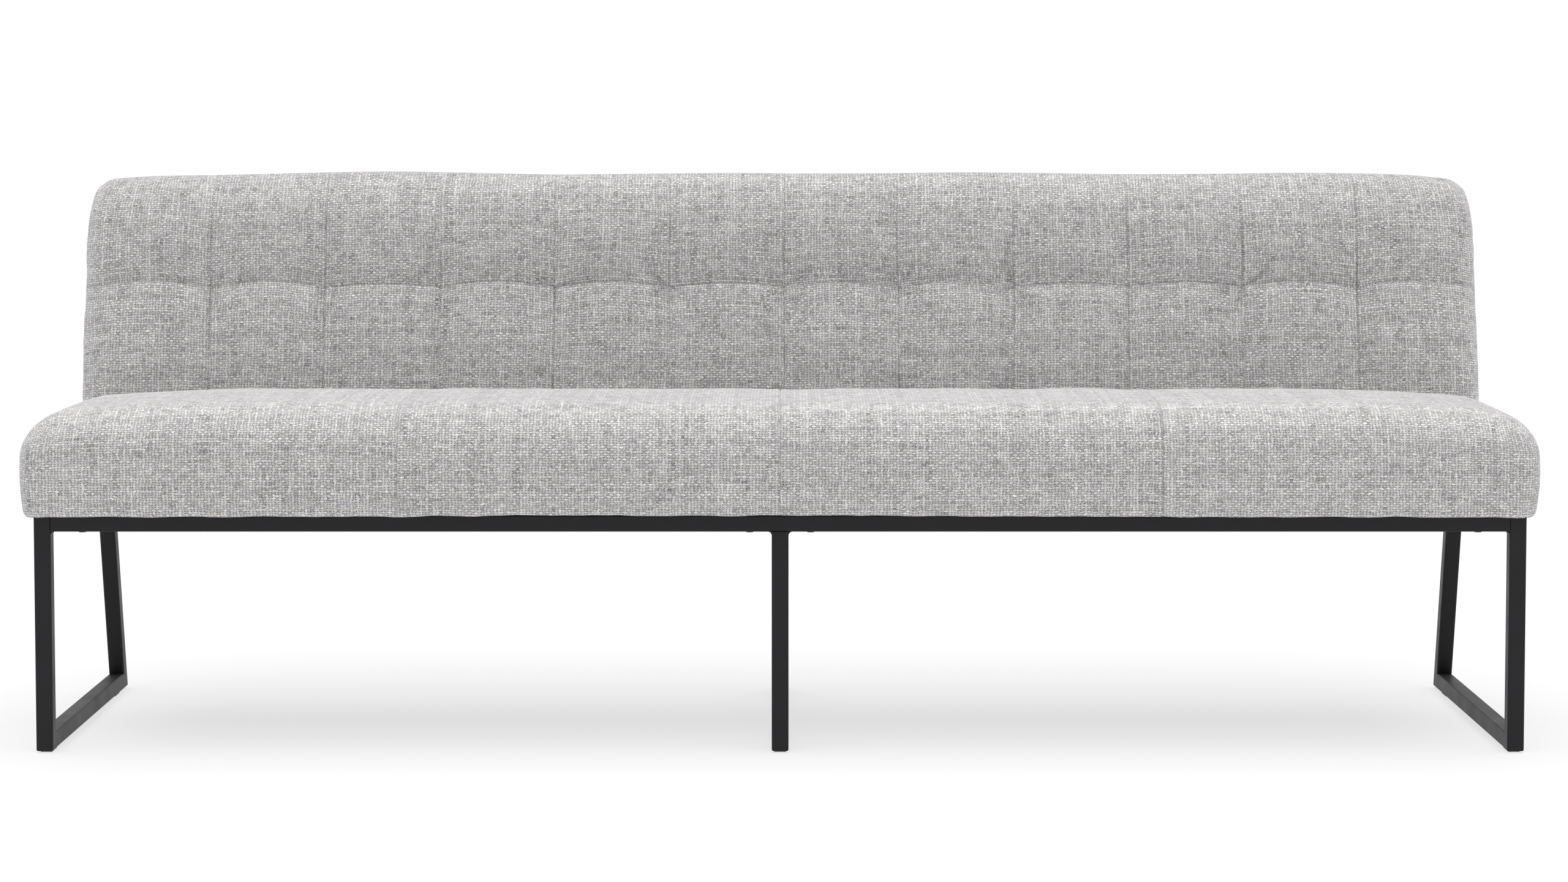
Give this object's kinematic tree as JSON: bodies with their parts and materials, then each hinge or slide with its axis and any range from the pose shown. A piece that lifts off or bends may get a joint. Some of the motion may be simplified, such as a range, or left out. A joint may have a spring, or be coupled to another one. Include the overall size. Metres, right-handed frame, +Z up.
{
  "type": "dining banquette",
  "caption": "Long dining banquette: a padded tweed bench seat and a leaning, quilted and tufted back on a black sled base of square steel tube.",
  "frame": {"origin": "on the floor, under the middle of the banquette's outline", "axes": "+X along the bench to the right as seen from the front, +Y from the seat's front to the back, +Z up"},
  "size_m": [2.25, 0.6206, 0.8459],
  "materials": {
    "black_steel": "satin",
    "black_plastic": "matte",
    "zinc_steel": "satin",
    "timber": "matte",
    "plywood": "matte",
    "grey_tweed": "matte",
    "foam": "matte",
    "felt": "matte",
    "black_dust_cloth": "matte",
    "twine": "matte"
  },
  "bodies": {
    "root": {"left_front_leg": "black_steel", "left_floor_rail": "black_steel", "left_rear_leg": "black_steel", "left_side_rail": "black_steel", "middle_front_leg": "black_steel", "middle_floor_rail": "black_steel", "middle_rear_leg": "black_steel", "middle_side_rail": "black_steel", "right_front_leg": "black_steel", "right_floor_rail": "black_steel", "right_rear_leg": "black_steel", "right_side_rail": "black_steel", "front_rail": "black_steel", "left_rear_rail": "black_steel", "right_rear_rail": "black_steel", "front_rail_welds": "black_steel", "back_support_bars": "black_steel", "floor_glides": "black_plastic", "seat_bolts": "zinc_steel", "seat_inserts": "zinc_steel", "stile_screws": "zinc_steel", "tuft_washers": "zinc_steel", "seat_springs": "zinc_steel", "spring_clips": "zinc_steel", "seat_front_timber": "timber", "seat_rear_timber": "timber", "seat_left_timber": "timber", "seat_right_timber": "timber", "seat_left_cross_timber": "timber", "seat_middle_cross_timber": "timber", "seat_right_cross_timber": "timber", "back_top_timber": "timber", "back_bottom_timber": "timber", "back_left_end_stile": "timber", "back_left_outer_stile": "timber", "back_left_inner_stile": "timber", "back_right_inner_stile": "timber", "back_right_outer_stile": "timber", "back_right_end_stile": "timber", "back_board": "plywood", "seat_cover": "grey_tweed", "back_front_cover": "grey_tweed", "back_rear_cover": "grey_tweed", "seat_foam": "foam", "back_foam": "foam", "spring_felt": "felt", "seat_dust_cover": "black_dust_cloth", "back_dust_cover": "black_dust_cloth", "tuft_ties": "twine"}
  },
  "joints": []
}
